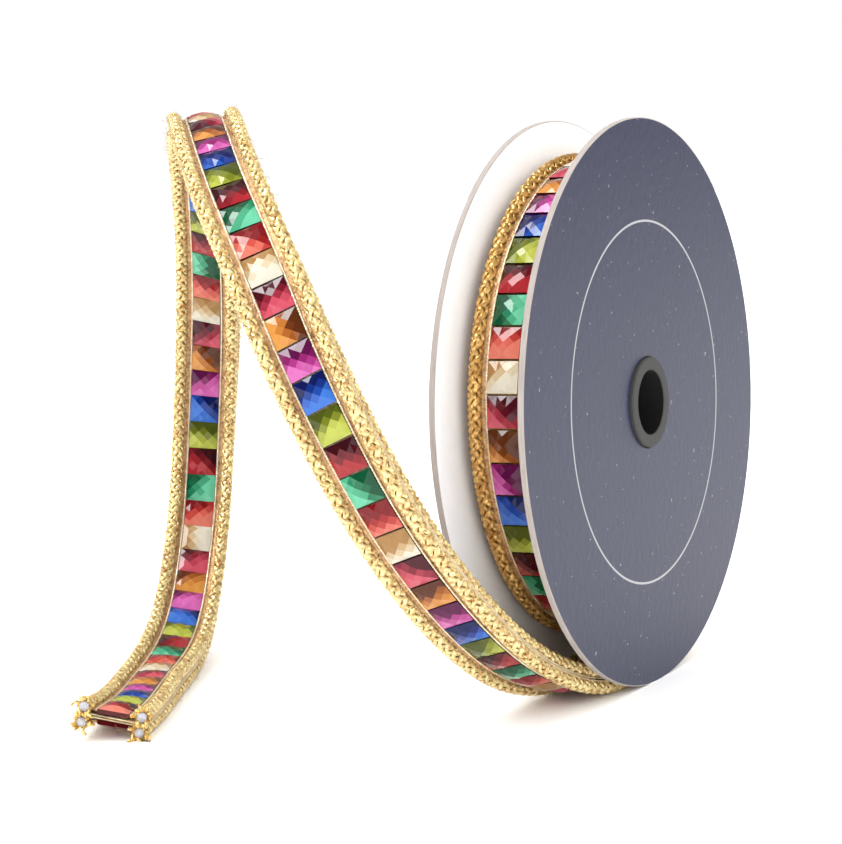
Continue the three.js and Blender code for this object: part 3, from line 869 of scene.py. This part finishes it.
# The flanges. Two discs of layered board, punched round and printed slate blue on their outer
# faces, with a thin silver ring. The inner faces are white, and the cut rim shows the pale layers
# of the board.
speckle = bpy.data.node_groups.new("paper_speckle", "ShaderNodeTree")
speckle.interface.new_socket("Stretch", in_out="INPUT", socket_type="NodeSocketVector")
speckle.interface.new_socket("Mottle", in_out="OUTPUT", socket_type="NodeSocketFloat")
speckle.interface.new_socket("Fleck", in_out="OUTPUT", socket_type="NodeSocketFloat")
come = speckle.nodes.new("NodeGroupInput")
go = speckle.nodes.new("NodeGroupOutput")
body = speckle.nodes.new("ShaderNodeTexCoord")
pulled = speckle.nodes.new("ShaderNodeVectorMath")
pulled.operation = "MULTIPLY"
speckle.links.new(body.outputs["Object"], pulled.inputs[0])
speckle.links.new(come.outputs["Stretch"], pulled.inputs[1])
mottle = speckle.nodes.new("ShaderNodeTexNoise")
mottle.inputs["Scale"].default_value = 1.0
mottle.inputs["Detail"].default_value = 6.0
speckle.links.new(pulled.outputs[0], mottle.inputs["Vector"])
speckle.links.new(mottle.outputs["Fac"], go.inputs["Mottle"])
fleck = speckle.nodes.new("ShaderNodeTexNoise")
fleck.inputs["Scale"].default_value = 620.0
speckle.links.new(body.outputs["Object"], fleck.inputs["Vector"])
dot = speckle.nodes.new("ShaderNodeMath")
dot.operation = "GREATER_THAN"
dot.inputs[1].default_value = 0.74
speckle.links.new(fleck.outputs["Fac"], dot.inputs[0])
speckle.links.new(dot.outputs[0], go.inputs["Fleck"])


def card(name, low, high, stretch, rough, flecks):
    """A printed or bare board finish: two close tones mixed by a stretched mottle, with a few
    pale flecks."""
    material, nodes, links, shader = finish(name)
    paper = nodes.new("ShaderNodeGroup")
    paper.node_tree = speckle
    paper.inputs["Stretch"].default_value = stretch
    tone = nodes.new("ShaderNodeMix")
    tone.data_type = "RGBA"
    tone.inputs["A"].default_value = (*low, 1.0)
    tone.inputs["B"].default_value = (*high, 1.0)
    links.new(paper.outputs["Mottle"], tone.inputs["Factor"])
    spot = nodes.new("ShaderNodeMath")
    spot.operation = "MULTIPLY"
    spot.inputs[1].default_value = flecks
    links.new(paper.outputs["Fleck"], spot.inputs[0])
    paled = nodes.new("ShaderNodeMix")
    paled.data_type = "RGBA"
    paled.inputs["B"].default_value = (0.75, 0.73, 0.72, 1.0)
    links.new(spot.outputs[0], paled.inputs["Factor"])
    links.new(tone.outputs["Result"], paled.inputs["A"])
    links.new(paled.outputs["Result"], shader.inputs["Base Color"])
    bump = nodes.new("ShaderNodeBump")
    bump.inputs["Strength"].default_value = 0.3
    bump.inputs["Distance"].default_value = 0.0003
    links.new(paper.outputs["Mottle"], bump.inputs["Height"])
    links.new(bump.outputs["Normal"], shader.inputs["Normal"])
    shader.inputs["Roughness"].default_value = rough
    shader.inputs["Specular IOR Level"].default_value = 0.35
    return material


ring_radius, ring_half_width = 0.0575, 0.00035
slate = card("slate_print", (0.014, 0.016, 0.042), (0.021, 0.024, 0.060), (260, 420, 380), 0.38, 0.30)
nodes, links = slate.node_tree.nodes, slate.node_tree.links
place = nodes.new("ShaderNodeTexCoord")
flat = nodes.new("ShaderNodeVectorMath")
flat.operation = "MULTIPLY"
flat.inputs[1].default_value = (0.0, 1.0, 1.0)
links.new(place.outputs["Object"], flat.inputs[0])
from_axle = nodes.new("ShaderNodeVectorMath")
from_axle.operation = "DISTANCE"
from_axle.inputs[1].default_value = (0.0, 0.0, axle_height)
links.new(flat.outputs["Vector"], from_axle.inputs[0])
on_ring = nodes.new("ShaderNodeMath")
on_ring.operation = "COMPARE"
on_ring.inputs[1].default_value = ring_radius
on_ring.inputs[2].default_value = ring_half_width
links.new(from_axle.outputs["Value"], on_ring.inputs[0])
printed = nodes.new("ShaderNodeMix")
printed.data_type = "RGBA"
printed.inputs["B"].default_value = (0.34, 0.34, 0.35, 1.0)
shader = nodes["Principled BSDF"]
links.new(on_ring.outputs[0], printed.inputs["Factor"])
links.new(shader.inputs["Base Color"].links[0].from_socket, printed.inputs["A"])
links.new(printed.outputs["Result"], shader.inputs["Base Color"])
white_board = card("white_board", (0.82, 0.83, 0.84), (0.89, 0.90, 0.91), (200, 200, 200), 0.6, 0.0)
rim_board = card("rim_board", (0.24, 0.20, 0.18), (0.46, 0.42, 0.39), (3000, 140, 140), 0.8, 0.0)
tube_board = card("tube_board", (0.040, 0.041, 0.038), (0.060, 0.060, 0.056), (400, 900, 900), 0.75, 0.0)
# The bore's wall is painted almost black, as painted shade inside the tube.
bore_shade_board = card("bore_shade_board", (0.004, 0.004, 0.005), (0.008, 0.008, 0.009), (400, 900, 900), 0.85, 0.0)

flange_radius = 0.0900
hole_radius = 0.0147
arris = 0.0003


def round_axle(profile, turn):
    """A profile of (x, radius) carried round the axle: (x, radius sin(turn), axle height - radius
    cos(turn)) at each turn, and never below the table."""
    x = profile[None, :, 0].repeat(len(turn), 0)
    y = profile[None, :, 1] * np.sin(turn)[:, None]
    z = axle_height - profile[None, :, 1] * np.cos(turn)[:, None]
    return np.stack([x, y, np.maximum(z, 0)], -1)


def face_middles(mesh):
    """The x and the distance from the axle of the middle of each face."""
    middle = np.empty(len(mesh.polygons) * 3, np.float32)
    mesh.polygons.foreach_get("center", middle)
    middle = middle.reshape(-1, 3)
    return middle[:, 0], np.hypot(middle[:, 1], middle[:, 2] - axle_height)


def disc(name, print_x, inner_x):
    """A board disc, turned in 256 steps, with small soft arrises and a foot where it stands. Its
    faces take material 0 on the printed side, 1 on the inner side and 2 on the rim and hole."""
    way = 1 if print_x > inner_x else -1
    soft = 0.00018 * way
    profile = np.array([
        (inner_x, hole_radius),
        (inner_x, 0.03),
        (inner_x, 0.06),
        (inner_x, flange_radius - arris),
        (inner_x + soft, flange_radius),
        ((inner_x + print_x) / 2, flange_radius),
        (print_x - soft, flange_radius),
        (print_x, flange_radius - arris),
        (print_x, 0.06),
        (print_x, 0.03),
        (print_x, hole_radius),
    ])
    grid = round_axle(profile, np.linspace(0, 2 * math.pi, 257)[:-1])
    if way > 0:
        grid = grid[::-1]
    grid = np.concatenate([grid, grid[:1]])
    mesh = skin(name, grid[None], np.linspace(0, 1, 257), ends=False)
    mesh.set_sharp_from_angle(angle=math.radians(30))
    face_x, radius = face_middles(mesh)
    on_print = np.abs(face_x - print_x) < 1e-5
    on_rim = (radius > flange_radius - 0.0002) | (radius < hole_radius + 0.0001)
    pick = np.where(on_rim, 2, np.where(on_print, 0, 1)).astype(np.int32)
    for material in [slate, white_board, rim_board]:
        mesh.materials.append(material)
    mesh.polygons.foreach_set("material_index", pick)
    return mesh


for name, node, print_x, inner_x, slot in [
    ("near_disc", "near_flange", 0.001, -0.001, "slate_card"),
    ("far_disc", "far_flange", -0.030, -0.028, "white_card"),
]:
    piece = bpy.data.objects.new(name, disc(name, print_x, inner_x))
    bpy.context.collection.objects.link(piece)
    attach(piece, "root")
    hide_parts(node)

# The tube. A short tube of grey board, pushed through both flanges so that it stands a little proud,
# with soft cut ends and an open bore, whose wall is painted almost black as painted shade inside it.
tube_radius, bore_radius = 0.0144, 0.0103
tube_ends = (-0.0312, 0.0022)
wall = np.array([
    (tube_ends[0] + 0.0003, bore_radius),
    (tube_ends[0], bore_radius + 0.0003),
    (tube_ends[0], tube_radius - 0.0004),
    (tube_ends[0] + 0.0004, tube_radius),
    (tube_ends[1] - 0.0004, tube_radius),
    (tube_ends[1], tube_radius - 0.0004),
    (tube_ends[1], bore_radius + 0.0003),
    (tube_ends[1] - 0.0003, bore_radius),
])
grid = round_axle(wall, np.linspace(2 * math.pi, 0, 129))
tube = skin("tube", grid[None], np.linspace(0, 1, 129), ends=False)
tube.set_sharp_from_angle(angle=math.radians(30))
fit(tube, tube_board, "grey_card", "core_tube")
tube.materials.append(bore_shade_board)
in_bore = face_middles(tube)[1] < bore_radius + 0.0001
tube.polygons.foreach_set("material_index", in_bore.astype(np.int32))
